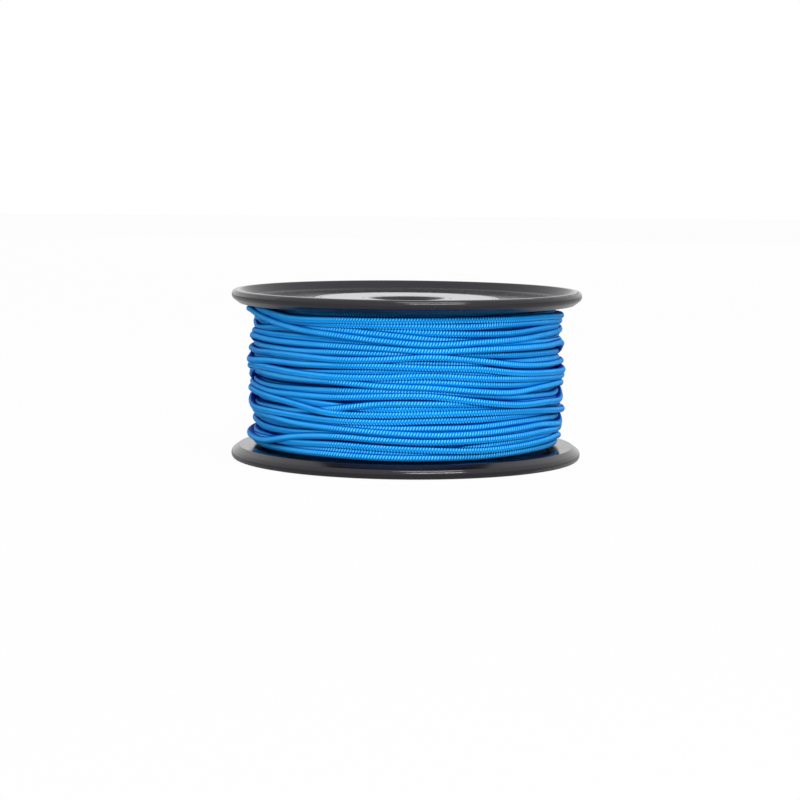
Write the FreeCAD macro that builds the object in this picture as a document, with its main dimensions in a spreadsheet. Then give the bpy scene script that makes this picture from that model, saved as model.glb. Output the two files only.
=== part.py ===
# A moulded spool of braided line. Two identical dished flanges snap into the ends of a barrel,
# and the line is wound on the barrel between them. Millimetres, +Z up along the spool's axis,
# origin on the axis in the plane that the lower rim stands on.
import FreeCAD, Part
import math
import os
import re
import Sketcher

Vector = FreeCAD.Vector

# Driving sizes, one spreadsheet cell each
SIZES = [
    # overall
    ("spool_height", 39.5),
    ("flange_diameter", 82.0),
    # flange rim and dish
    ("web_thickness", 1.0),
    ("recess_depth", 2.1),
    ("land_inset", 1.8),
    ("dish_wall_run", 1.7),
    ("bevel_height", 1.3),
    ("bevel_run", 1.7),
    ("nose_round", 1.0),
    ("bevel_round", 1.2),
    ("land_round", 0.35),
    ("crease_round", 0.2),
    ("dish_round", 0.9),
    # arbor bore through both flanges
    ("bore_diameter", 16.0),
    ("bore_chamfer", 0.6),
    ("arbor_wall", 1.6),
    ("arbor_seam", 0.2),
    # ribs between the arbor and the spigot
    ("rib_count", 6),
    ("rib_thickness", 1.2),
    ("rib_height", 6.0),
    ("rib_bite", 0.4),
    # barrel, spigot and snap fingers
    ("barrel_diameter", 35.0),
    ("barrel_wall", 1.6),
    ("barrel_lead", 0.4),
    ("fit_clearance", 0.1),
    ("spigot_wall", 1.5),
    ("spigot_height", 3.0),
    ("finger_count", 3),
    ("finger_angle", 36.0),
    ("finger_height", 8.0),
    ("hook_start", 5.5),
    ("hook_land", 1.0),
    ("hook_reach", 0.6),
    # paper labels
    ("label_diameter", 43.0),
    ("label_thickness", 0.15),
    ("label_margin", 0.4),
    # line and its winding
    ("line_diameter", 1.8),
    ("pack_diameter", 73.0),
    ("turn_gap", 0.42),
    ("turn_clearance", 0.1),
    ("turn_swell", 0.7),
    ("pack_clearance", 0.1),
    ("tuck_bend", 2.7),
    ("tuck_clearance", 0.3),
    # start of the line, knotted inside the barrel
    ("anchor_clearance", 0.2),
    ("knot_wraps", 2),
    ("knot_pitch", 1.5),
    ("knot_radius", 1.6),
    ("knot_seat", 0.3),
    ("tail_clearance", 1.2),
]

# The wound layer swells out and in again about this many times in each turn
SWELLS_PER_TURN = 0.63
BIARCS_PER_TURN = 4

doc = FreeCAD.newDocument("spool")
sheet = doc.addObject("Spreadsheet::Sheet", "Sizes")
for row, (alias, value) in enumerate(SIZES, start=1):
    sheet.set(f"A{row}", alias)
    sheet.set(f"B{row}", str(value))
    sheet.setAlias(f"B{row}", alias)
doc.recompute()


def size(alias):
    """The number that a cell of the sheet holds."""
    return float(sheet.get(alias))


def cells(formula):
    """A formula in the sheet's aliases, as an expression that a document object can be bound to."""
    return re.sub(r"[a-z]+(_[a-z]+)+", r"Sizes.\g<0>", formula)


# Formulas that several sub-parts share
RIM = "(recess_depth + web_thickness)"
TOP_RIM = f"(spool_height - {RIM})"
BORE = "(bore_diameter / 2)"
ARBOR = f"({BORE} + arbor_wall)"
BARREL_OUT = "(barrel_diameter / 2)"
BARREL_IN = f"({BARREL_OUT} - barrel_wall)"
SPIGOT_OUT = f"({BARREL_IN} - fit_clearance)"
SPIGOT_IN = f"({SPIGOT_OUT} - spigot_wall)"
WOUND = "(pack_diameter / 2 - line_diameter / 2)"
CORE = f"({WOUND} - line_diameter / 2 - turn_clearance)"
TUCK = f"({WOUND} - tuck_bend - line_diameter)"


def add_body(name):
    body = doc.addObject("PartDesign::Body", name)
    body.Label = name
    return body


def sketch_on(body, role, name):
    """A sketch on one of the body's own origin planes."""
    plane = next(f for f in body.Origin.OriginFeatures if f.Role == role)
    sketch = body.newObject("Sketcher::SketchObject", name)
    sketch.AttachmentSupport = (plane, "")
    sketch.MapMode = "FlatFace"
    return sketch


def add_outline(sketch, corners):
    """A closed outline whose corners are bound, in (across, up) formulas, to the sheet."""
    count = len(corners)
    for i in range(count):
        turn, after = 2 * math.pi * i / count, 2 * math.pi * (i + 1) / count
        start = Vector(30 + 10 * math.cos(turn), 15 + 10 * math.sin(turn), 0)
        end = Vector(30 + 10 * math.cos(after), 15 + 10 * math.sin(after), 0)
        sketch.addGeometry(Part.LineSegment(start, end), False)
    for i in range(count):
        sketch.addConstraint(Sketcher.Constraint("Coincident", i, 2, (i + 1) % count, 1))
    for i, (across, up) in enumerate(corners):
        for kind, formula in (("DistanceX", across), ("DistanceY", up)):
            if formula == "0":
                axis = -2 if kind == "DistanceX" else -1
                sketch.addConstraint(Sketcher.Constraint("PointOnObject", i, 1, axis))
                continue
            index = sketch.addConstraint(Sketcher.Constraint(kind, -1, 1, i, 1, 1.0))
            sketch.setExpression(f"Constraints[{index}]", cells(formula))


def revolve(body, sketch, name, angle=None):
    """Turns a sketch about the body's axis: all the way round, or by an angle shared on both sides."""
    feature = body.newObject("PartDesign::Revolution", name)
    feature.Profile = sketch
    feature.ReferenceAxis = (sketch, ["V_Axis"])
    feature.Angle = 360.0
    if angle:
        feature.Midplane = True
        feature.setExpression("Angle", cells(angle))
    doc.recompute()
    return feature


def ring_edges(feature, radius, height):
    """Names of a feature's circular edges about the axis, of one radius and at one height."""
    near = 1e-4
    found = []
    for number, edge in enumerate(feature.Shape.Edges, start=1):
        curve = edge.Curve
        if curve.TypeId != "Part::GeomCircle":
            continue
        if abs(curve.Radius - radius) < near and abs(curve.Center.z - height) < near:
            found.append(f"Edge{number}")
    return found


def round_rings(body, base, name, alias, rings):
    """Rounds the circular edges of a feature that lie at (radius, height)."""
    names = [edge for ring in rings for edge in ring_edges(base, *ring)]
    fillet = body.newObject("PartDesign::Fillet", name)
    fillet.Base = (base, names)
    fillet.setExpression("Radius", cells(alias))
    doc.recompute()
    return fillet


def pattern(body, feature, name, count):
    """Repeats a feature round the body's axis."""
    axis = next(f for f in body.Origin.OriginFeatures if f.Role == "Z_Axis")
    polar = body.newObject("PartDesign::PolarPattern", name)
    polar.Originals = [feature]
    polar.Axis = (axis, [""])
    polar.Angle = 360.0
    polar.setExpression("Occurrences", cells(count))
    body.Tip = polar
    doc.recompute()
    return polar


# Flange: a dished disc with a rounded rim, half of the arbor tube, ribs, a spigot and snap fingers
def make_flange(name):
    body = add_body(name)
    disc = sketch_on(body, "XZ_Plane", f"{name}_disc_outline")
    rim_out = "flange_diameter / 2"
    add_outline(
        disc,
        [
            (f"{rim_out} - land_inset", "0"),
            (rim_out, "0"),
            (rim_out, f"{RIM} - bevel_height"),
            (f"{rim_out} - bevel_run", RIM),
            (SPIGOT_OUT, RIM),
            (SPIGOT_OUT, f"{RIM} + spigot_height"),
            (SPIGOT_IN, f"{RIM} + spigot_height"),
            (SPIGOT_IN, RIM),
            (ARBOR, RIM),
            (ARBOR, "(spool_height - arbor_seam) / 2"),
            (BORE, "(spool_height - arbor_seam) / 2"),
            (BORE, "recess_depth + bore_chamfer"),
            (f"{BORE} + bore_chamfer", "recess_depth"),
            (f"{rim_out} - land_inset - dish_wall_run", "recess_depth"),
        ],
    )
    base = revolve(body, disc, f"{name}_disc")

    outer = size("flange_diameter") / 2
    land = outer - size("land_inset")
    dish = land - size("dish_wall_run")
    rim = size("recess_depth") + size("web_thickness")
    bevel = rim - size("bevel_height")
    base = round_rings(body, base, f"{name}_nose", "nose_round", [(outer, 0)])
    base = round_rings(body, base, f"{name}_bevel", "bevel_round", [(outer, bevel)])
    face = outer - size("bevel_run")
    base = round_rings(body, base, f"{name}_crease", "crease_round", [(face, rim)])
    base = round_rings(body, base, f"{name}_land", "land_round", [(land, 0)])
    round_rings(body, base, f"{name}_dish", "dish_round", [(dish, size("recess_depth"))])

    rib = sketch_on(body, "XZ_Plane", f"{name}_rib_outline")
    add_outline(
        rib,
        [
            (f"{ARBOR} - rib_bite", f"{RIM} - rib_bite"),
            (f"{SPIGOT_IN} + rib_bite", f"{RIM} - rib_bite"),
            (f"{SPIGOT_IN} + rib_bite", f"{RIM} + rib_height"),
            (f"{ARBOR} - rib_bite", f"{RIM} + rib_height"),
        ],
    )
    pad = body.newObject("PartDesign::Pad", f"{name}_rib")
    pad.Profile = rib
    pad.Midplane = True
    pad.setExpression("Length", cells("rib_thickness"))
    doc.recompute()
    pattern(body, pad, f"{name}_ribs", "rib_count")

    finger = sketch_on(body, "YZ_Plane", f"{name}_finger_outline")
    hook_out = f"{SPIGOT_OUT} + hook_reach"
    add_outline(
        finger,
        [
            (SPIGOT_IN, RIM),
            (SPIGOT_OUT, RIM),
            (SPIGOT_OUT, f"{RIM} + hook_start"),
            (hook_out, f"{RIM} + hook_start"),
            (hook_out, f"{RIM} + hook_start + hook_land"),
            (f"{SPIGOT_OUT} - fit_clearance", f"{RIM} + finger_height"),
            (SPIGOT_IN, f"{RIM} + finger_height"),
        ],
    )
    turned = revolve(body, finger, f"{name}_finger", "finger_angle * 1 deg")
    pattern(body, turned, f"{name}_fingers", "finger_count")
    return body


# Barrel: the tube that carries the line, with a snap groove near each end and a hole for the line's start
def make_barrel(name):
    body = add_body(name)
    groove_out = f"{BARREL_IN} + hook_reach"
    groove_near = "hook_start - fit_clearance"
    groove_far = "finger_height + fit_clearance"
    tube = sketch_on(body, "XZ_Plane", f"{name}_outline")
    add_outline(
        tube,
        [
            (BARREL_OUT, RIM),
            (BARREL_OUT, TOP_RIM),
            (f"{BARREL_IN} + barrel_lead", TOP_RIM),
            (BARREL_IN, f"{TOP_RIM} - barrel_lead"),
            (BARREL_IN, f"{TOP_RIM} - ({groove_near})"),
            (groove_out, f"{TOP_RIM} - ({groove_near})"),
            (groove_out, f"{TOP_RIM} - ({groove_far})"),
            (BARREL_IN, f"{TOP_RIM} - ({groove_far})"),
            (BARREL_IN, f"{RIM} + {groove_far}"),
            (groove_out, f"{RIM} + {groove_far}"),
            (groove_out, f"{RIM} + {groove_near}"),
            (BARREL_IN, f"{RIM} + {groove_near}"),
            (BARREL_IN, f"{RIM} + barrel_lead"),
            (f"{BARREL_IN} + barrel_lead", RIM),
        ],
    )
    revolve(body, tube, f"{name}_tube")

    mouth = sketch_on(body, "YZ_Plane", f"{name}_anchor_outline")
    mouth.addGeometry(Part.Circle(Vector(0, 20, 0), Vector(0, 0, 1), 1), False)
    mouth.addConstraint(Sketcher.Constraint("PointOnObject", 0, 3, -2))
    index = mouth.addConstraint(Sketcher.Constraint("DistanceY", -1, 1, 0, 3, 1.0))
    mouth.setExpression(f"Constraints[{index}]", cells("spool_height / 2"))
    index = mouth.addConstraint(Sketcher.Constraint("Radius", 0, 1.0))
    mouth.setExpression(f"Constraints[{index}]", cells("line_diameter / 2 + anchor_clearance"))
    hole = body.newObject("PartDesign::Pocket", f"{name}_anchor_hole")
    hole.Profile = mouth
    hole.Reversed = True
    hole.setExpression("Length", cells("barrel_diameter"))
    doc.recompute()
    return body


# Ring about the axis with a square section, such as a label
def make_ring(name, inner, outer, low, high):
    body = add_body(name)
    section = sketch_on(body, "XZ_Plane", f"{name}_outline")
    add_outline(section, [(inner, low), (outer, low), (outer, high), (inner, high)])
    revolve(body, section, f"{name}_ring")
    return body


def bind(thing, **formulas):
    """Binds properties of a primitive; a double underscore in a name stands for a dot."""
    for path, formula in formulas.items():
        thing.setExpression(path.replace("__", "."), cells(formula))
    return thing


# Plain inner pack of line, with a slot near each flange where the wound layer's ends are tucked in
def make_core(name):
    low = f"({RIM} + pack_clearance)"
    high = f"({TOP_RIM} - pack_clearance)"
    pack = doc.addObject("Part::Cylinder", f"{name}_solid")
    bind(pack, Radius=CORE, Height=f"{high} - {low}", Placement__Base__z=low)
    bore = doc.addObject("Part::Cylinder", f"{name}_bore")
    bind(bore, Radius=f"{BARREL_OUT} + pack_clearance", Height="spool_height")
    wide = "(line_diameter + 2 * tuck_clearance)"
    cuts = [bore]
    for end, sign, centre in (
        ("start", -1, f"{low} - pack_clearance + turn_clearance + line_diameter / 2"),
        ("end", 1, f"{high} + pack_clearance - turn_clearance - line_diameter / 2"),
    ):
        slot = doc.addObject("Part::Box", f"{name}_{end}_slot")
        # travel along the turn is towards -X where the slots are, so the start slot lies on +X
        run = f"(tuck_bend + {wide})"
        side = "0 - line_diameter / 2" if sign < 0 else f"line_diameter / 2 - {run}"
        bind(
            slot,
            Length=run,
            Width="pack_diameter / 2",
            Height=wide,
            Placement__Base__x=side,
            Placement__Base__y=TUCK,
            Placement__Base__z=f"{centre} - {wide} / 2",
        )
        cuts.append(slot)
    tools = doc.addObject("Part::MultiFuse", f"{name}_tools")
    tools.Shapes = cuts
    core = doc.addObject("Part::Cut", name)
    core.Base = pack
    core.Tool = tools
    core.Label = name
    return core


def wound_point(turn, turns, low, high):
    """A point of the wound layer's centreline after so many turns from the back of the spool."""
    swells = round(SWELLS_PER_TURN * turns)
    swell = size("turn_swell") / 2 * (1 - math.cos(2 * math.pi * swells * turn / turns))
    radius = (size("pack_diameter") - size("line_diameter")) / 2 + swell
    angle = math.pi / 2 + 2 * math.pi * turn
    height = low + (high - low) * turn / turns
    return Vector(radius * math.cos(angle), radius * math.sin(angle), height)


def wound_direction(turn, turns, low, high):
    step = 1e-4
    ahead = wound_point(turn + step, turns, low, high)
    return (ahead - wound_point(turn - step, turns, low, high)).normalize()


def arc_between(start, corner, end):
    """The arc that touches both legs of a corner; the legs are equally long."""
    middle = (start + end) / 2
    half = start.distanceToPoint(end) / 2
    rise = corner.distanceToPoint(middle)
    sagitta = half * math.tan(math.atan2(rise, half) / 2)
    top = middle + (corner - middle).normalize() * sagitta
    return Part.Arc(start, top, end)


def biarc(start, leaving, end, arriving):
    """Two arcs that join two points smoothly, in the directions given there."""
    chord = end - start
    both = leaving + arriving
    bend = 2 * (1 - leaving.dot(arriving))
    along = chord.dot(both)
    leg = (math.sqrt(along * along + bend * chord.dot(chord)) - along) / bend
    first, second = start + leaving * leg, end - arriving * leg
    joint = (first + second) / 2
    return [arc_between(start, first, joint), arc_between(joint, second, end)]


def tucked_end(point, direction, bend, straight):
    """Edges that turn the line inwards from a point and run it straight down to its end."""
    inwards = Vector(-point.x, -point.y, 0).normalize()
    corner = point + direction * bend
    turned = corner + inwards * bend
    centre = point + inwards * bend
    halfway = centre + (direction - inwards) * (bend * math.sqrt(0.5))
    arc = Part.Arc(point, halfway, turned)
    return [arc, Part.LineSegment(turned, turned + inwards * straight)]


# Outer layer of line: one unbroken tube wound round the pack from flange to flange
def make_wound_line(name):
    thick, bend = size("line_diameter"), size("tuck_bend")
    rim = size("recess_depth") + size("web_thickness")
    low = rim + size("turn_clearance") + thick / 2
    high = size("spool_height") - low
    turns = math.floor((high - low) / (thick + size("turn_gap")))
    place = (turns, low, high)

    steps = turns * BIARCS_PER_TURN
    ends = [i / BIARCS_PER_TURN for i in range(steps + 1)]
    points = [wound_point(t, *place) for t in ends]
    ways = [wound_direction(t, *place) for t in ends]
    edges = []
    for i in range(steps):
        edges += biarc(points[i], ways[i], points[i + 1], ways[i + 1])
    first = tucked_end(points[0], ways[0] * -1, bend, thick)
    last = tucked_end(points[-1], ways[-1], bend, thick)
    route = [e.toShape() for e in list(reversed(first)) + edges + last]
    wire = Part.Wire(Part.__sortEdges__(route))

    tip = first[1].EndPoint
    outwards = (first[1].StartPoint - tip).normalize()
    ring = Part.Wire(Part.Circle(tip, outwards, thick / 2).toShape())
    shell = Part.BRepOffsetAPI.MakePipeShell(wire)
    shell.add(ring)
    shell.build()
    shell.makeSolid()
    solid = shell.shape()

    line = doc.addObject("Part::Feature", name)
    line.Label = name
    line.Shape = solid
    report_turns(place, wire.Length, solid.Volume, thick, edges)
    return line


def report_turns(place, length, volume, thick, edges):
    """Prints the wound layer's count, length and least gap to itself, and its tightest arc."""
    turns = place[0]
    per_turn = 90
    samples = [wound_point(i / per_turn, *place) for i in range(turns * per_turn + 1)]
    apart = min(
        samples[i].distanceToPoint(samples[j])
        for i in range(len(samples) - per_turn)
        for j in range(i + per_turn - 3, min(i + per_turn + 4, len(samples)))
    )
    expected = math.pi * thick * thick / 4 * length
    tightest = min(e.toShape().Curve.Radius for e in edges)
    print(f"wound line: {turns} turns, {length:.0f} mm long, least gap {apart - thick:.3f} mm")
    print(f"wound line: volume over section times length {volume / expected:.4f}")
    print(f"wound line: tightest arc of its turns {tightest:.1f} mm")


# Start of the line: a stopper knot inside the barrel and the line through the anchor hole
def make_start_knot(name):
    knot_out = f"({BARREL_IN} - knot_seat)"
    tail = f"({ARBOR} + tail_clearance)"
    strand = doc.addObject("Part::Cylinder", f"{name}_strand")
    strand.Placement.Rotation = FreeCAD.Rotation(Vector(0, 1, 0), 90)
    bind(
        strand,
        Radius="line_diameter / 2",
        Height=f"{BARREL_OUT} - {tail}",
        Placement__Base__x=tail,
        Placement__Base__z="spool_height / 2",
    )
    pieces = [strand]
    for wrap in range(int(size("knot_wraps"))):
        loop = doc.addObject("Part::Torus", f"{name}_wrap_{wrap + 1}")
        loop.Placement.Rotation = FreeCAD.Rotation(Vector(0, 1, 0), 90)
        bind(
            loop,
            Radius1="knot_radius",
            Radius2="line_diameter / 2",
            Placement__Base__x=f"{knot_out} - line_diameter / 2 - {wrap} * knot_pitch",
            Placement__Base__z="spool_height / 2",
        )
        pieces.append(loop)
    knot = doc.addObject("Part::MultiFuse", name)
    knot.Shapes = pieces
    knot.Label = name
    return knot


bottom_flange = make_flange("bottom_flange")
top_flange = make_flange("top_flange")
top_flange.Placement.Rotation = FreeCAD.Rotation(Vector(1, 0, 0), 180)
top_flange.setExpression("Placement.Base.z", cells("spool_height"))
barrel = make_barrel("barrel")
label_in = f"{BORE} + bore_chamfer + label_margin"
label_out = "label_diameter / 2"
bottom_label = make_ring(
    "bottom_label", label_in, label_out, "recess_depth - label_thickness", "recess_depth"
)
top_label = make_ring(
    "top_label",
    label_in,
    label_out,
    "spool_height - recess_depth",
    "spool_height - recess_depth + label_thickness",
)
line_core = make_core("line_core")
wound_line = make_wound_line("wound_line")
start_knot = make_start_knot("start_knot")
doc.recompute()

SUB_PARTS = [
    bottom_flange,
    top_flange,
    barrel,
    bottom_label,
    top_label,
    line_core,
    wound_line,
    start_knot,
]

for thing in doc.Objects:
    if {"Invalid", "Error"} & set(thing.State):
        raise RuntimeError(f"{thing.Name} failed: {thing.State}")
for part in SUB_PARTS:
    if part.Shape.isNull() or not part.Shape.isValid() or not part.Shape.Solids:
        raise RuntimeError(f"{part.Label} has no valid solid")

os.makedirs("parts", exist_ok=True)
for part in SUB_PARTS:
    part.Shape.exportStep(f"parts/{part.Label}.step")
    box = part.Shape.optimalBoundingBox()
    print(
        f"{part.Label}: {len(part.Shape.Solids)} solid, {part.Shape.Volume:.0f} mm3, "
        f"x {box.XMin:.2f}..{box.XMax:.2f}, z {box.ZMin:.2f}..{box.ZMax:.2f}"
    )
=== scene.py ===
"""A moulded black spool wound full of bright blue braided line, standing on its rim on a white table."""
import math

import bpy
import numpy as np
from mathutils import Matrix, Vector


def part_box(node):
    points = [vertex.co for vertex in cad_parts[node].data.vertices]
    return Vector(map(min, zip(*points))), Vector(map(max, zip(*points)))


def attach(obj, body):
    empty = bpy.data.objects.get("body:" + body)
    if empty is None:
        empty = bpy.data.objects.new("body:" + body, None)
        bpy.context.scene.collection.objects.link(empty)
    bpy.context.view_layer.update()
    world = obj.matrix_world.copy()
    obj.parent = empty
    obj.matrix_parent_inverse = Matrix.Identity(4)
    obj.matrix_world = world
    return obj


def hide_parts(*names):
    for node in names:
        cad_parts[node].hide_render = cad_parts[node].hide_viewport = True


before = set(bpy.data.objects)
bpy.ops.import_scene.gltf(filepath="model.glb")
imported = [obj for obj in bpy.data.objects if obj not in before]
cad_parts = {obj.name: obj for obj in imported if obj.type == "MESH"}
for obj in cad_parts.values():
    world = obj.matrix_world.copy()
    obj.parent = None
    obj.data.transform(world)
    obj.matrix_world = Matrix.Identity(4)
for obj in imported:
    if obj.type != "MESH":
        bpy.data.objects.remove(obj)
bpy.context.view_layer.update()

MM = 0.001

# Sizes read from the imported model, in metres
SPOOL_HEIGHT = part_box("top_flange")[1][2]
BARREL_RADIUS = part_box("barrel")[1][0]
BARREL_LOW, BARREL_HIGH = (corner[2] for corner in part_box("barrel"))

# Camera, from the two flange ellipses in the photograph
CAMERA_DISTANCE = 0.573
CAMERA_HEIGHT = 0.0728
CAMERA_ROLL = math.radians(0.5)
SENSOR_WIDTH = 36
CLIP_START = 0.01
FOCAL_PIXELS = 2445
FRAME_PIXELS = 800
MIDDLE_PIXEL = (406, 373.4)

# The line: its thickness, the share of its width that is left where its neighbours press it,
# the points of its route in one turn, the rings of its tube for each, and the sides of a ring
LINE_DIAMETER = 1.8 * MM
PRESSED_WIDTH = 0.9
STATIONS = 64
RINGS_PER_STATION = 2
SIDES = 12

# The winding: one even layer, then outer turns that rest on those laid before them.
# Two turns that lie less than WRAP_WIDTH apart touch, and one lies up to WRAP_LIFT above the other.
BOTTOM_LAYER_TURNS = 18
BOTTOM_LAYER_RADIUS = 34.0 * MM
EVEN_STEP = 0.25
WALL_GAP_MM = 0.05
WRAP_LIFT = 1.0 * MM
WRAP_WIDTH = 1.5 * MM
TENSION = 0.5
TIGHTENINGS = 400

# The back, which the photograph doesn't show: its random waves, each (waves per turn, millimetres),
# and the end of the line, whose last stations are tucked in there under the last turns laid
SEED = 22
BACK_WAVES = ((0.73, 0.45), (1.37, 0.4), (2.21, 0.25))
TUCK_STATIONS = 9
TUCK_HEIGHT = 11.1
TUCK_DEPTH_TURNS = 12.5

# The ring that stands for the layers below: its ridges reach just into the even layer
UNDER_RADIUS = BOTTOM_LAYER_RADIUS - 0.45 * LINE_DIAMETER
UNDER_GAP = 0.05 * MM
UNDER_STEPS = 128
RIDGE_MERGE = 0.1 * MM
SEAM_MERGE = 0.01 * MM

# The bake map of a piece of line: how much of the square its strips take, the gap beside each strip,
# and the reach and the step between its two end caps in the corner that is left
BAKE_SPAN = 0.98
BAKE_GAP = 0.04
BAKE_CAP_REACH = 0.4
BAKE_CAP_STEP = 0.5

# Height of each outer turn in millimetres, at these angles from the front, in the order of winding:
# down over the bottom layer, up again, and down once more in a few steep turns.
WRAP_ANGLES = (-90, -78, -60, -43, -26, -9, 9, 26, 43, 60, 78, 90)
WRAPS = (
    (33.1, 33.2, 33.6, 33.5, 33.2, 32.6, 31.9, 31.5, 31.4, 31.9, 31.8, 31.7),
    (31.7, 31.0, 31.7, 32.2, 32.3, 31.6, 30.5, 29.9, 29.8, 29.6, 29.2, 29.9),
    (29.8, 30.1, 30.1, 30.2, 30.0, 29.7, 28.9, 28.9, 29.1, 28.9, 28.7, 28.3),
    (26.9, 27.1, 27.1, 27.0, 27.2, 27.2, 27.2, 26.9, 26.5, 26.3, 25.8, 25.4),
    (24.1, 24.4, 24.9, 24.9, 25.6, 25.5, 25.2, 25.0, 24.9, 24.8, 24.4, 24.0),
    (22.5, 22.4, 22.4, 22.3, 22.7, 23.2, 23.5, 23.0, 22.1, 21.1, 20.6, 21.1),
    (20.6, 20.7, 21.4, 21.8, 21.6, 21.1, 21.0, 20.3, 19.7, 19.7, 19.6, 19.5),
    (18.7, 18.5, 18.3, 18.5, 18.7, 18.9, 18.7, 18.0, 17.0, 16.6, 16.2, 16.5),
    (15.6, 15.9, 16.4, 15.9, 15.3, 14.8, 15.1, 15.0, 14.6, 14.4, 13.7, 13.2),
    (13.2, 13.1, 13.5, 13.5, 14.8, 16.1, 16.2, 16.0, 15.5, 15.4, 14.8, 14.4),
    (10.5, 10.8, 11.4, 11.4, 11.0, 10.6, 10.7, 10.7, 11.2, 11.2, 10.7, 10.5),
    (9.2, 9.0, 8.6, 8.6, 9.2, 8.9, 8.6, 8.7, 8.7, 8.7, 8.5, 8.6),
    (6.8, 6.6, 6.5, 5.4, 5.3, 5.2, 5.1, 6.2, 6.9, 7.3, 6.9, 6.6),
    (4.2, 4.2, 4.3, 4.4, 4.4, 4.2, 4.2, 4.1, 4.4, 4.6, 4.6, 4.6),
    (5.5, 5.9, 6.2, 6.3, 6.6, 6.3, 5.9, 5.5, 5.7, 6.2, 6.4, 5.3),
    (6.3, 6.1, 5.9, 7.8, 8.5, 8.1, 7.7, 7.8, 8.1, 8.4, 8.0, 8.3),
    (12.7, 11.7, 11.4, 10.7, 10.3, 9.8, 9.3, 9.4, 9.8, 10.1, 9.5, 10.2),
    (14.1, 12.8, 12.7, 12.4, 12.0, 12.0, 12.4, 12.4, 12.7, 12.8, 12.4, 12.4),
    (18.0, 17.8, 17.2, 17.2, 17.2, 17.8, 17.9, 16.5, 15.3, 15.2, 14.8, 16.2),
    (19.6, 21.7, 21.3, 21.0, 20.8, 20.1, 19.8, 18.8, 18.1, 18.8, 18.9, 18.1),
    (21.2, 22.3, 22.7, 22.3, 21.9, 22.0, 22.4, 21.7, 21.1, 20.7, 20.3, 20.2),
    (24.3, 23.5, 24.2, 24.1, 24.3, 24.5, 24.2, 23.8, 22.5, 21.9, 21.6, 21.8),
    (28.0, 29.2, 28.9, 28.8, 28.7, 28.5, 27.9, 28.2, 28.2, 28.1, 28.0, 25.9),
    (34.0, 34.6, 34.2, 33.7, 33.5, 33.5, 33.3, 33.2, 33.5, 33.4, 33.0, 32.6),
    (35.4, 35.4, 35.2, 34.3, 34.5, 34.6, 34.7, 34.7, 34.6, 34.6, 34.2, 34.2),
    (34.8, 35.4, 33.7, 32.1, 31.2, 30.2, 29.4, 29.8, 30.1, 30.5, 30.5, 30.6),
    (25.8, 25.6, 26.0, 26.0, 25.7, 26.0, 26.6, 25.7, 24.3, 23.6, 23.5, 23.2),
    (16.3, 16.5, 16.0, 15.0, 13.6, 13.6, 13.9, 14.0, 13.8, 13.3, 12.5, 12.1),
)
TURNS = BOTTOM_LAYER_TURNS + len(WRAPS)

# Route of the knot in millimetres, from its short tail to the hole in the barrel
KNOT_ROUTE = (
    (15.3, -1.5, 18.3),
    (14.6, -1.5, 18.4),
    (12.9, -0.4, 19.6),
    (11.9, 0.6, 20.7),
    (11.8, 1.2, 21.2),
    (12.5, 1.5, 21.2),
    (13.7, 1.3, 20.8),
    (14.4, 0.7, 20.3),
    (14.7, 0.0, 19.8),
    (14.4, -0.7, 19.2),
    (13.7, -1.3, 18.7),
    (12.5, -1.5, 18.3),
    (11.8, -1.2, 18.3),
    (11.9, -0.6, 18.8),
    (12.9, 0.4, 19.9),
    (14.3, 1.2, 21.0),
    (15.3, 1.0, 20.6),
    (16.0, 0.2, 19.9),
    (16.8, 0.0, 19.75),
    (17.4, 0.0, 19.75),
)


def deselect_all():
    for thing in bpy.context.selected_objects:
        thing.select_set(False)


def new_mesh_object(name, vertices, faces):
    """A mesh object from arrays of vertices and of four-sided faces, smooth all over."""
    mesh = bpy.data.meshes.new(name)
    mesh.vertices.add(len(vertices))
    mesh.vertices.foreach_set("co", np.asarray(vertices, dtype=np.float32).ravel())
    mesh.loops.add(faces.size)
    mesh.loops.foreach_set("vertex_index", faces.astype(np.int32).ravel())
    mesh.polygons.add(len(faces))
    mesh.polygons.foreach_set("loop_start", np.arange(0, faces.size, 4, dtype=np.int32))
    mesh.update(calc_edges=True)
    mesh.polygons.foreach_set("use_smooth", np.ones(len(faces), dtype=bool))
    piece = bpy.data.objects.new(name, mesh)
    bpy.context.scene.collection.objects.link(piece)
    return piece


def add_map(piece, name, corners):
    layer = piece.data.uv_layers.new(name=name)
    layer.uv.foreach_set("vector", np.asarray(corners, dtype=np.float32).ravel())


def wear(piece, *nodes):
    """Gives a piece of line its finish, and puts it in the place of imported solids."""
    piece.data.materials.append(braid_finish())
    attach(piece, "root")
    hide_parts(*nodes)


# Camera


def add_camera():
    """The photograph's view: long lens, a little above the top flange, turned a little clockwise."""
    data = bpy.data.cameras.new("camera")
    data.sensor_fit = "HORIZONTAL"
    data.sensor_width = SENSOR_WIDTH
    data.lens = FOCAL_PIXELS / FRAME_PIXELS * data.sensor_width
    data.clip_start = CLIP_START
    camera = bpy.data.objects.new("camera", data)
    bpy.context.scene.collection.objects.link(camera)
    place = Vector((0, -CAMERA_DISTANCE, CAMERA_HEIGHT))
    middle = Vector((0, 0, SPOOL_HEIGHT / 2))
    down = math.atan2(CAMERA_HEIGHT - middle.z, CAMERA_DISTANCE)
    half = FRAME_PIXELS / 2
    down += math.atan((half - MIDDLE_PIXEL[1]) / FOCAL_PIXELS)
    left = math.atan((MIDDLE_PIXEL[0] - half) / FOCAL_PIXELS)
    turn = Matrix.Rotation(left, 4, "Z") @ Matrix.Rotation(math.pi / 2 - down, 4, "X")
    camera.matrix_world = Matrix.Translation(place) @ turn @ Matrix.Rotation(CAMERA_ROLL, 4, "Z")
    bpy.context.scene.camera = camera


# Winding: turns are laid one on another at their heights, then pulled tight until they rest


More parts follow.
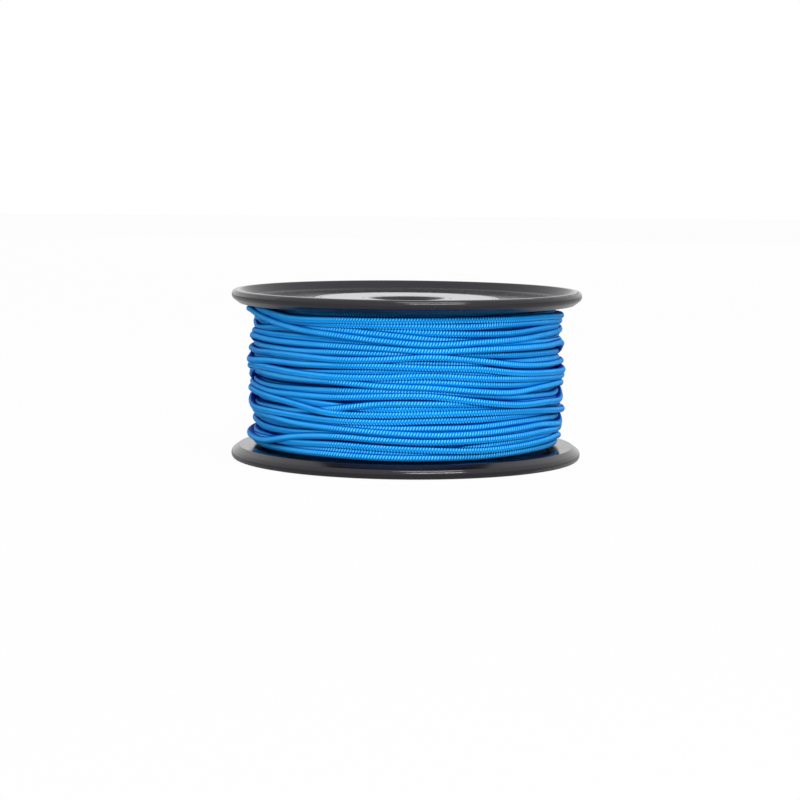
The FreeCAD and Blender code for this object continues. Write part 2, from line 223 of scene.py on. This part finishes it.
def wave(turn, parts, rng):
    """A smooth random line over the turns: (cycles per turn, size in millimetres) waves added up."""
    return sum(size * np.sin(2 * np.pi * (rate * turn + rng.random())) for rate, size in parts)


def smooth_through(x, y, at):
    """A smooth line through points, with the slope at each one that its neighbours give."""
    slope = np.gradient(y, x)
    left = np.clip(np.searchsorted(x, at, side="right") - 1, 0, len(x) - 2)
    span = x[left + 1] - x[left]
    t = (at - x[left]) / span
    rise = 3 * t**2 - 2 * t**3
    ease_out, ease_in = t * (1 - t) ** 2, t**2 * (t - 1)
    line = y[left] + (y[left + 1] - y[left]) * rise
    return line + span * (ease_out * slope[left] + ease_in * slope[left + 1])


def lay_heights(turn, low, high, rng):
    """Height of the line after so many turns: one even layer, then the outer turns by their table.

    A whole number of turns is at the back, so a turn's front is half a turn after its start.
    """
    even = np.arange(0, BOTTOM_LAYER_TURNS, EVEN_STEP)
    pace = (high - low) / BOTTOM_LAYER_TURNS
    fronts = np.arange(len(WRAPS)) + BOTTOM_LAYER_TURNS + 0.5
    table = np.add.outer(fronts, np.array(WRAP_ANGLES) / 360).ravel()
    x = np.concatenate([even, table, [TURNS]])
    y = np.concatenate([low + pace * even, np.array(WRAPS).ravel(), [TUCK_HEIGHT]])
    height = smooth_through(x, y, turn)
    back = (1 + np.cos(2 * np.pi * turn)) / 2
    loose = np.clip(turn - BOTTOM_LAYER_TURNS, 0, 1)
    height += wave(turn, BACK_WAVES, rng) * back**2 * loose
    return np.clip(height, low, high)


def rest_turns(height, order, floor):
    """Radius at which tight turns rest: each lies on the ones laid before it and spans their gaps."""
    apart = (height[:, None] - height[None]) * MM / WRAP_WIDTH
    above = order[:, None] > order[None]
    touch = above & (np.abs(apart) < 1)
    lift = np.where(touch, WRAP_LIFT * np.sqrt(np.clip(1 - apart**2, 0, 1)), -1.0)
    radius = np.full(height.shape, floor)
    for _ in range(1, len(height)):
        radius = np.maximum(radius, (radius[None] + lift).max(axis=1))
    shrink = math.cos(2 * math.pi / STATIONS)
    for _ in range(TIGHTENINGS):
        line = radius.ravel()
        pull = (line[:-2] + line[2:]) / 2 * shrink - line[1:-1]
        line[1:-1] += TENSION * pull
        radius = np.maximum(line.reshape(height.shape), floor)
        radius = np.maximum(radius, (radius[None] + lift).max(axis=1))
    return radius


def wind_line():
    """Route of the wound line in metres, one point for each station of each turn."""
    rng = np.random.default_rng(SEED)
    half = LINE_DIAMETER / 2
    low = (BARREL_LOW + half) / MM + WALL_GAP_MM
    high = (BARREL_HIGH - half) / MM - WALL_GAP_MM
    turn = np.arange(TURNS * STATIONS) / STATIONS
    height = lay_heights(turn, low, high, rng)
    order = np.floor(turn)
    order[-TUCK_STATIONS:] -= TUCK_DEPTH_TURNS
    shape = (TURNS, STATIONS)
    radius = rest_turns(height.reshape(shape), order.reshape(shape), BOTTOM_LAYER_RADIUS).ravel()
    angle = math.pi / 2 + 2 * np.pi * turn
    return np.stack([radius * np.cos(angle), radius * np.sin(angle), height * MM], axis=1)


def follow_route(name, points):
    """Points along the smooth line that a NURBS spline makes of a route."""
    curve = bpy.data.curves.new(name, "CURVE")
    curve.dimensions = "3D"
    spline = curve.splines.new("NURBS")
    spline.points.add(len(points) - 1)
    flat = np.ones((len(points), 4), dtype=np.float32)
    flat[:, :3] = points
    spline.points.foreach_set("co", flat.ravel())
    spline.order_u = 3
    spline.use_endpoint_u = True
    spline.resolution_u = RINGS_PER_STATION
    holder = bpy.data.objects.new(name, curve)
    mesh = bpy.data.meshes.new_from_object(holder)
    line = np.empty(len(mesh.vertices) * 3, dtype=np.float32)
    mesh.vertices.foreach_get("co", line)
    bpy.data.objects.remove(holder)
    bpy.data.curves.remove(curve)
    bpy.data.meshes.remove(mesh)
    return line.reshape(-1, 3).astype(float)


# Tubes of line


def unit(vectors):
    return vectors / np.linalg.norm(vectors, axis=-1, keepdims=True)


def tube(name, line, outwards, strips):
    """A tube of line along a smooth route, with closed ends. Returns the piece and its length."""
    count = len(line)
    along = unit(np.gradient(line, axis=0))
    up = unit(outwards - (outwards * along).sum(axis=1, keepdims=True) * along)
    side = np.cross(along, up) * PRESSED_WIDTH
    around = 2 * np.pi * np.arange(SIDES) / SIDES
    ring = np.cos(around)[None, :, None] * up[:, None] + np.sin(around)[None, :, None] * side[:, None]
    vertices = (line[:, None] + LINE_DIAMETER / 2 * ring).reshape(-1, 3)

    row = np.arange(count - 1)[:, None] * SIDES
    here, after = np.arange(SIDES), (np.arange(SIDES) + 1) % SIDES
    wall = np.stack([row + here, row + after, row + SIDES + after, row + SIDES + here], axis=-1)
    half = np.arange(SIDES // 2 - 1)
    start = np.stack([half, SIDES - 1 - half, SIDES - 2 - half, half + 1], axis=-1)
    end = (count - 1) * SIDES + start[:, ::-1]
    piece = new_mesh_object(name, vertices, np.concatenate([wall.reshape(-1, 4), start, end]))

    run = np.concatenate([[0], np.cumsum(np.linalg.norm(np.diff(line, axis=0), axis=1))])
    add_braid_map(piece, run, len(start))
    add_bake_map(piece, count - 1, strips, start)
    return piece, run[-1]


def add_braid_map(piece, run, cap_faces):
    """The map "braid": metres along the line, and turns around it from its outer side."""
    first = np.broadcast_to(np.arange(SIDES) / SIDES, (len(run) - 1, SIDES))
    last = first + 1 / SIDES
    near, far = (np.repeat(end[:, None], SIDES, axis=1) for end in (run[:-1], run[1:]))
    wall = np.stack([near, first, near, last, far, last, far, first], axis=-1).reshape(-1, 8)
    add_map(piece, "braid", np.concatenate([wall, np.zeros((2 * cap_faces, 8))]))


def add_bake_map(piece, rows, strips, cap):
    """The map "OFBake": the tube laid out once, cut into equal strips that lie side by side."""
    per_strip = math.ceil(rows / strips)
    row = np.arange(rows)
    left = np.repeat((row % per_strip / per_strip * BAKE_SPAN)[:, None], SIDES, axis=1)
    right = left + BAKE_SPAN / per_strip
    across = np.broadcast_to(np.arange(SIDES) / SIDES, (rows, SIDES))
    use = 1 - 2 * BAKE_GAP
    bottom = ((row // per_strip)[:, None] + BAKE_GAP + use * across) / strips * BAKE_SPAN
    top = bottom + use / SIDES / strips * BAKE_SPAN
    wall = np.stack([left, bottom, left, top, right, top, right, bottom], axis=-1).reshape(-1, 8)

    around = 2 * np.pi * np.arange(SIDES) / SIDES
    circle = np.stack([np.cos(around), np.sin(around)], axis=-1)
    corner = 1 - (1 - BAKE_SPAN) * (0.5 + BAKE_CAP_REACH * circle)
    start, end = corner[cap], corner[cap[:, ::-1]] - np.array([0, BAKE_CAP_STEP])
    add_map(piece, "OFBake", np.concatenate([wall, start.reshape(-1, 8), end.reshape(-1, 8)]))


def make_wound_line():
    """The outer layers: one unbroken line, from the even layer below to the end tucked in behind."""
    line = follow_route("wound_route", wind_line())
    piece, length = tube("braided_line", line, line * (1, 1, 0), TURNS)
    wear(piece, "wound_line")
    reach = np.hypot(line[:, 0], line[:, 1]).max() + LINE_DIAMETER / 2
    print(f"wound line: {length:.2f} m in {TURNS} turns, out to {reach / MM:.2f} mm")


def make_start_knot():
    """The overhand knot inside the barrel, with the line's start out through the barrel's hole."""
    line = follow_route("knot_route", np.array(KNOT_ROUTE) * MM)
    piece, _ = tube("start_of_line", line, line - line.mean(axis=0), 1)
    wear(piece, "start_knot")


# Layers below


def make_under_layers():
    """The layers below, seen only between turns: a ring with one ridge for each turn, spun round."""
    count = round((BARREL_HIGH - BARREL_LOW) / LINE_DIAMETER)
    pitch = (BARREL_HIGH - BARREL_LOW - 2 * UNDER_GAP) / count
    first = (UNDER_RADIUS - LINE_DIAMETER / 2, 0, BARREL_LOW + UNDER_GAP + pitch / 2)
    bpy.ops.mesh.primitive_circle_add(
        vertices=SIDES, radius=pitch / 2, location=first, rotation=(math.pi / 2, 0, 0)
    )
    piece = bpy.context.object
    piece.name = "under_layers"
    bpy.ops.object.transform_apply(location=True, rotation=True, scale=True)
    bpy.ops.object.mode_set(mode="EDIT")
    bpy.ops.mesh.select_all(action="SELECT")
    bpy.ops.mesh.bisect(plane_co=first, plane_no=(-1, 0, 0), clear_outer=True)
    bpy.ops.object.mode_set(mode="OBJECT")
    rows = piece.modifiers.new("turns", "ARRAY")
    rows.count = count
    rows.use_relative_offset = False
    rows.use_constant_offset = True
    rows.constant_offset_displace = (0, 0, pitch)
    rows.use_merge_vertices = True
    rows.merge_threshold = RIDGE_MERGE
    bpy.ops.object.modifier_apply(modifier="turns")

    for part in (piece.data.vertices, piece.data.edges, piece.data.polygons):
        part.foreach_set("select", [False] * len(part))
    ends = sorted(piece.data.vertices, key=lambda vertex: vertex.co.z)
    ends[0].select = ends[-1].select = True
    inwards = BARREL_RADIUS + UNDER_GAP - first[0]
    bpy.ops.object.mode_set(mode="EDIT")
    bpy.ops.mesh.select_mode(type="VERT")
    bpy.ops.mesh.extrude_vertices_move(TRANSFORM_OT_translate={"value": (inwards, 0, 0)})
    bpy.ops.mesh.edge_face_add()
    bpy.ops.mesh.select_all(action="SELECT")
    bpy.ops.mesh.spin(steps=UNDER_STEPS, angle=2 * math.pi, center=(0, 0, 0), axis=(0, 0, 1))
    bpy.ops.mesh.select_all(action="SELECT")
    bpy.ops.mesh.remove_doubles(threshold=SEAM_MERGE)
    bpy.ops.mesh.normals_make_consistent(inside=False)
    bpy.ops.object.mode_set(mode="OBJECT")
    bpy.ops.object.shade_smooth()
    deselect_all()
    add_ring_map(piece, first[2], pitch)
    wear(piece, "line_core")


def add_ring_map(piece, first_height, pitch):
    """The map "braid" of a ridged ring, in place of its own: metres round it, and turns of a ridge."""
    mesh = piece.data
    mesh.uv_layers.remove(mesh.uv_layers[0])
    places = np.array([mesh.vertices[corner.vertex_index].co for corner in mesh.loops])
    middles = np.array([face.center for face in mesh.polygons for _ in face.vertices])
    middle = np.arctan2(middles[:, 1], middles[:, 0])
    beyond = np.arctan2(places[:, 1], places[:, 0]) - middle
    turn = middle + (beyond + np.pi) % (2 * np.pi) - np.pi
    across = (places[:, 2] - first_height) / pitch / 2
    add_map(piece, "braid", np.stack([turn * UNDER_RADIUS, across], axis=-1))


# Shader building


class Value:
    """A number or vector that comes out of a shader node, for use in Python arithmetic."""

    def __init__(self, finish, socket):
        self.finish = finish
        self.socket = socket

    def _with(self, operation, *others):
        node = self.finish.node("Math", {"operation": operation}, dict(enumerate(others)))
        return Value(self.finish, node.outputs[0])

    def __add__(self, other):
        return self._with("ADD", self, other)

    def __radd__(self, other):
        return self._with("ADD", other, self)

    def __sub__(self, other):
        return self._with("SUBTRACT", self, other)

    def __rsub__(self, other):
        return self._with("SUBTRACT", other, self)

    def __mul__(self, other):
        return self._with("MULTIPLY", self, other)

    def __rmul__(self, other):
        return self._with("MULTIPLY", other, self)

    def __truediv__(self, other):
        return self._with("DIVIDE", self, other)

    def fraction(self):
        return self._with("FRACT", self)

    def sine(self):
        return self._with("SINE", self)

    def size(self):
        return self._with("ABSOLUTE", self)

    def larger(self, other):
        return self._with("MAXIMUM", self, other)

    def root(self):
        return self._with("SQRT", self)

    def between(self, low, high):
        """0 below low, 1 above high, and smooth between."""
        sockets = {"Value": self, "From Min": low, "From Max": high}
        node = self.finish.node("MapRange", {"interpolation_type": "SMOOTHSTEP"}, sockets)
        return Value(self.finish, node.outputs[0])


class Finish:
    """The nodes of a material, or of the room, under construction."""

    def __init__(self, owner):
        self.owner = owner
        owner.use_nodes = True
        self.tree = owner.node_tree
        self.tree.nodes.clear()

    def node(self, kind, settings, sockets):
        """Adds a node: its settings first, then the values or links of its sockets."""
        node = self.tree.nodes.new("ShaderNode" + kind)
        for key, setting in settings.items():
            setattr(node, key, setting)
        for key, value in sockets.items():
            if isinstance(value, Value):
                self.tree.links.new(value.socket, node.inputs[key])
            else:
                node.inputs[key].default_value = value
        return node

    def out(self, node, output=0):
        return Value(self, node.outputs[output])

    def place(self):
        return self.out(self.node("TexCoord", {}, {}), "Object")

    def split(self, vector):
        node = self.node("SeparateXYZ", {}, {0: vector})
        return [self.out(node, i) for i in range(3)]

    def noise(self, vector, scale, detail=2.0, roughness=0.5):
        sockets = {"Vector": vector, "Scale": scale, "Detail": detail, "Roughness": roughness}
        return self.out(self.node("TexNoise", {}, sockets), 0)

    def vector(self, x, y, z):
        return self.out(self.node("CombineXYZ", {}, {0: x, 1: y, 2: z}))

    def mix(self, share, first, second):
        """A colour between two colours."""
        sockets = {0: share, 6: first, 7: second}
        return self.out(self.node("Mix", {"data_type": "RGBA"}, sockets), 2)

    def bump(self, height, distance, strength=1.0):
        sockets = {"Height": height, "Distance": distance, "Strength": strength}
        return self.out(self.node("Bump", {}, sockets))

    def surface(self, sockets):
        shader = self.node("BsdfPrincipled", {}, sockets)
        self.node("OutputMaterial", {}, {0: self.out(shader)})
        return self.owner


def colour(red, green, blue):
    """A colour written as in the photograph, 0 to 255, as the shader wants it."""
    parts = (red / 255, green / 255, blue / 255)
    return (*(((c + 0.055) / 1.055) ** 2.4 if c > 0.04 else c / 12.92 for c in parts), 1)


# Braid: floats of one pick each in columns round the line, which turns a little back and forth.
# BRAID_TWIST is the size in turns and the rate per metre of that, BRAID_FLANK where painted shade
# darkens the sides and inner face.
BRAID_COLUMNS = 4
BRAID_PICK = 0.66 * MM
BRAID_LEAN = 0.7
BRAID_SHIFT = -0.055
BRAID_TWIST = (0.05, 19.0)
BRAID_OVERLAP = 0.75
BRAID_DEPTH = 0.12 * MM
BRAID_FLANK = (0.6, 0.8)
WANDER_FINENESS = 220.0
BLUE = colour(0, 148, 232)
# Painted shade, for the grooves between the floats
GROOVE_SHADE_BLUE = colour(0, 112, 205)
# Painted highlight, for the tops of the floats
FLOAT_HIGHLIGHT_BLUE = colour(112, 221, 252)
# Painted shade, for the sides and inner face of the line
FLANK_SHADE_BLUE = colour(0, 22, 140)


def braid_floats(run, pairs, side):
    """Height, 0 to 1, of the floats that lean to one side."""
    off = ((pairs + 0.25 * side).fraction() - 0.5) * 2
    phase = run / BRAID_PICK - off * (side * BRAID_LEAN) + 0.25 * side
    rise = (phase * (2 * math.pi)).sine() * 0.5 + 0.5
    return rise * (1 - (off / BRAID_OVERLAP).size().between(0.2, 1.0))


def braid_finish():
    """Braided line: columns of short floats that lean left and right by turns and overlap, with painted
    shade in the grooves and over the sides and a painted highlight on the float tops.
    """
    if "braid" in bpy.data.materials:
        return bpy.data.materials["braid"]
    finish = Finish(bpy.data.materials.new("braid"))
    run, across, _ = finish.split(finish.out(finish.node("UVMap", {"uv_map": "braid"}, {})))
    twist, rate = BRAID_TWIST
    turned = across + (run * rate).sine() * twist + BRAID_SHIFT
    pairs = turned * (BRAID_COLUMNS / 2)
    height = braid_floats(run, pairs, 1).larger(braid_floats(run, pairs, -1))
    highlight_wander = finish.noise(finish.place(), WANDER_FINENESS)
    # Painted shade in the low parts between the floats, then a painted highlight on their tops that the
    # noise makes patchy
    tint = finish.mix(height.between(0.0, 0.5), GROOVE_SHADE_BLUE, BLUE)
    tint = finish.mix(height.between(0.5, 1.0) * (highlight_wander * 0.7 + 0.3), tint, FLOAT_HIGHLIGHT_BLUE)
    # Painted shade over the sides and inner face of the line, leaving a band along its outer side
    flank_shade = 1 - ((across - 0.5).size() * 2).between(*BRAID_FLANK)
    return finish.surface(
        {
            "Base Color": finish.mix(flank_shade * 0.95, tint, FLANK_SHADE_BLUE),
            "Roughness": 0.5,
            "Specular IOR Level": 0.03,
            "Normal": finish.bump(height, BRAID_DEPTH),
        }
    )


# Black moulding: its colours, and how fine its marks are, per metre
PLASTIC_BLACK = colour(13, 8, 17)
PLASTIC_WORN = colour(56, 54, 60)
TOOL_RING_FINENESS = 1400
FLOW_FINENESS = 90.0
SCUFF_FINENESS = 1700.0
MARK_DEPTH = 0.02 * MM


def plastic_finish():
    """Glossy black moulding, with faint rings from the tool, flow marks and light scuffs."""
    finish = Finish(bpy.data.materials.new("black_moulding"))
    x, y, z = finish.split(finish.place())
    reach = (x * x + y * y).root()
    profile = finish.vector(reach * TOOL_RING_FINENESS, z * TOOL_RING_FINENESS, 0)
    rings = finish.noise(profile, 1.0, 3.0)
    flow = finish.noise(finish.place(), FLOW_FINENESS, 4.0)
    scratch = finish.noise(finish.place(), SCUFF_FINENESS, 5.0, 0.7).between(0.55, 0.75)
    scuff = scratch * flow.between(0.42, 0.66)
    worn = rings.between(0.4, 0.8) * 0.2 + scuff * 0.7
    return finish.surface(
        {
            "Base Color": finish.mix(worn, PLASTIC_BLACK, PLASTIC_WORN),
            "Roughness": flow * 0.08 + scuff * 0.3 + rings * 0.06 + 0.06,
            "Specular IOR Level": 0.5,
            "Normal": finish.bump(rings + flow * 0.5, MARK_DEPTH, 0.2),
        }
    )


# Label: radii and thickness of its printed rings, and its paper
LABEL_RINGS = (20.9 * MM, 20.2 * MM, 10.4 * MM)
LABEL_RING_EDGES = (0.1 * MM, 0.2 * MM)
LABEL_INK = colour(120, 124, 130)
PAPER_DARK = colour(186, 187, 188)
PAPER_LIGHT = colour(202, 203, 203)
FIBRE_FINENESS = 2500.0
FIBRE_DEPTH = 0.02 * MM


def label_finish():
    """White paper with thin printed rings."""
    finish = Finish(bpy.data.materials.new("label_paper"))
    x, y, _ = finish.split(finish.place())
    reach = (x * x + y * y).root()
    ink = 0
    for radius in LABEL_RINGS:
        ink = ink + (1 - (reach - radius).size().between(*LABEL_RING_EDGES))
    fibre = finish.noise(finish.place(), FIBRE_FINENESS, 4.0, 0.7)
    paper = finish.mix(fibre, PAPER_DARK, PAPER_LIGHT)
    return finish.surface(
        {
            "Base Color": finish.mix(ink * 0.7, paper, LABEL_INK),
            "Roughness": 0.62,
            "Normal": finish.bump(fibre, FIBRE_DEPTH, 0.4),
        }
    )


def finish_nodes():
    """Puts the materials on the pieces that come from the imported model."""
    plastic, label = plastic_finish(), label_finish()
    finishes = {
        "top_flange": plastic,
        "bottom_flange": plastic,
        "barrel": plastic,
        "top_label": label,
        "bottom_label": label,
    }
    for name, material in finishes.items():
        for slot in bpy.data.objects[name].material_slots:
            slot.material = material


# Stage

WHITE = (1, 1, 1, 1)
TABLE_SIZE = 4
TABLE_PALE = (0.6, 0.6, 0.6, 1)
TABLE_GLOW = 0.97
ROOM_LIGHT = 0.5

# Lamps: name, place and size in metres, power in watts, and whether the gloss shows them
LAMPS = (
    ("key", (0.3, -0.85, 0.42), (0.6, 0.14), 5.6, True),
    ("upper_strip", (0.2, -0.45, 0.95), (0.6, 0.12), 2.8, True),
    ("overhead", (0, -1.1, 1.1), (0.9, 0.9), 2.4, False),
    ("fill", (-0.4, -1.2, 0.3), (0.9, 0.9), 2.6, False),
    ("left", (-1.1, -0.45, 0.3), (0.9, 0.9), 1.6, False),
    ("right", (1.1, -0.45, 0.3), (0.9, 0.9), 0.8, False),
    ("rear", (0.2, 1.2, 0.4), (0.9, 0.9), 2.6, False),
)


def add_table():
    """A pale table top, which the camera sees as white with the spool's faint shadow."""
    bpy.ops.mesh.primitive_plane_add(size=TABLE_SIZE, location=(0, 0, 0))
    table = bpy.context.object
    table.name = "table"
    finish = Finish(bpy.data.materials.new("table_white"))
    pale = finish.out(finish.node("BsdfDiffuse", {}, {"Color": TABLE_PALE}))
    glow = finish.out(finish.node("Emission", {}, {"Color": WHITE, "Strength": 1.0}))
    seen = finish.out(finish.node("LightPath", {}, {}), "Is Camera Ray") * TABLE_GLOW
    mixed = finish.node("MixShader", {}, {0: seen, 1: pale, 2: glow})
    finish.node("OutputMaterial", {}, {0: finish.out(mixed)})
    table.data.materials.append(finish.owner)


def add_room():
    """An evenly lit room, which is white where the camera or the gloss of the plastic sees it."""
    room = Finish(bpy.data.worlds.new("room"))
    bpy.context.scene.world = room.owner
    ambient = room.out(room.node("Background", {}, {"Color": WHITE, "Strength": ROOM_LIGHT}))
    white = room.out(room.node("Background", {}, {"Color": WHITE, "Strength": 1.0}))
    path = room.node("LightPath", {}, {})
    seen = room.out(path, "Is Camera Ray").larger(room.out(path, "Is Glossy Ray"))
    mixed = room.node("MixShader", {}, {0: seen, 1: ambient, 2: white})
    room.node("OutputWorld", {}, {0: room.out(mixed)})


def add_lamp(name, place, size, power, in_gloss):
    data = bpy.data.lights.new(name, "AREA")
    data.shape = "RECTANGLE"
    data.size, data.size_y = size
    data.energy = power
    lamp = bpy.data.objects.new(name, data)
    aim = Vector((0, 0, SPOOL_HEIGHT / 2)) - Vector(place)
    lamp.matrix_world = Matrix.Translation(place) @ aim.to_track_quat("-Z", "Y").to_matrix().to_4x4()
    lamp.visible_glossy = in_gloss
    bpy.context.scene.collection.objects.link(lamp)


bpy.context.scene.view_settings.view_transform = "Standard"
deselect_all()
add_camera()
add_table()
add_room()
for lamp in LAMPS:
    add_lamp(*lamp)
finish_nodes()
make_under_layers()
make_start_knot()
make_wound_line()
